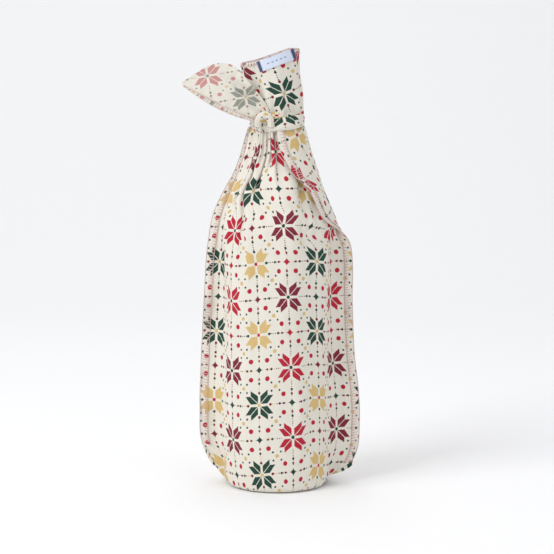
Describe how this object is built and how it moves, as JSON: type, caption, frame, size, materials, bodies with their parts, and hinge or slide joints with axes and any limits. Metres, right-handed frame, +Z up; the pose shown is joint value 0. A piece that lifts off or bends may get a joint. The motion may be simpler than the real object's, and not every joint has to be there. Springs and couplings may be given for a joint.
{
  "type": "wine gift bag",
  "caption": "Printed cotton gift bag round a wine bottle, tied in a knot on the neck, with a leaf-shaped tail, loose overlocked sides and a small woven label.",
  "frame": {"origin": "on the surface that the bag stands on, under the bottle's axis, at the middle of the bottom seam", "axes": "+Z is up along the bottle; X runs across the bag from seam to seam, with the leaf-shaped tail at -X; the front with the label faces -Y"},
  "size_m": [0.1286, 0.08, 0.3176],
  "materials": {
    "bottle_glass": "clear dark green glass",
    "cork": "natural cork",
    "capsule_foil": "satin burgundy foil",
    "printed_cotton": "plain-weave cotton with a printed grid of flowers, stars and dots",
    "overlock_thread": "overlocked cream thread",
    "label_ribbon": "woven pale blue ribbon",
    "label_thread": "navy thread"
  },
  "bodies": {
    "bag": {"bottle": "bottle_glass", "cork": "cork", "capsule": "capsule_foil", "front_panel": "printed_cotton", "back_panel": "printed_cotton", "left_seam_stitching": "overlock_thread", "right_seam_stitching": "overlock_thread", "bottom_seam_stitching": "overlock_thread", "knot_band": "printed_cotton", "knot_wrap": "printed_cotton", "knot_loop": "printed_cotton", "upper_tail": "printed_cotton", "upper_tail_stitching": "overlock_thread", "label": "label_ribbon", "label_stitches": "label_thread"},
    "left_tail": {"left_tail": "printed_cotton", "left_tail_stitching": "overlock_thread"},
    "left_tail_tip": {"left_tail_tip": "printed_cotton", "left_tail_tip_stitching": "overlock_thread"}
  },
  "joints": [
    {"name": "left_tail_swing", "type": "hinge", "parent": "bag", "child": "left_tail", "pos_m": [-0.0165, -0.01636, 0.27], "axis": [0, 1, 0], "range_deg": [-45, 25], "stiffness_Nm_per_rad": 0.02},
    {"name": "left_tail_tip_fold", "type": "hinge", "parent": "left_tail", "child": "left_tail_tip", "pos_m": [-0.04264, -0.01636, 0.28003], "axis": [0.3584, 0, 0.9336], "range_deg": [-60, 60], "stiffness_Nm_per_rad": 0.01}
  ]
}
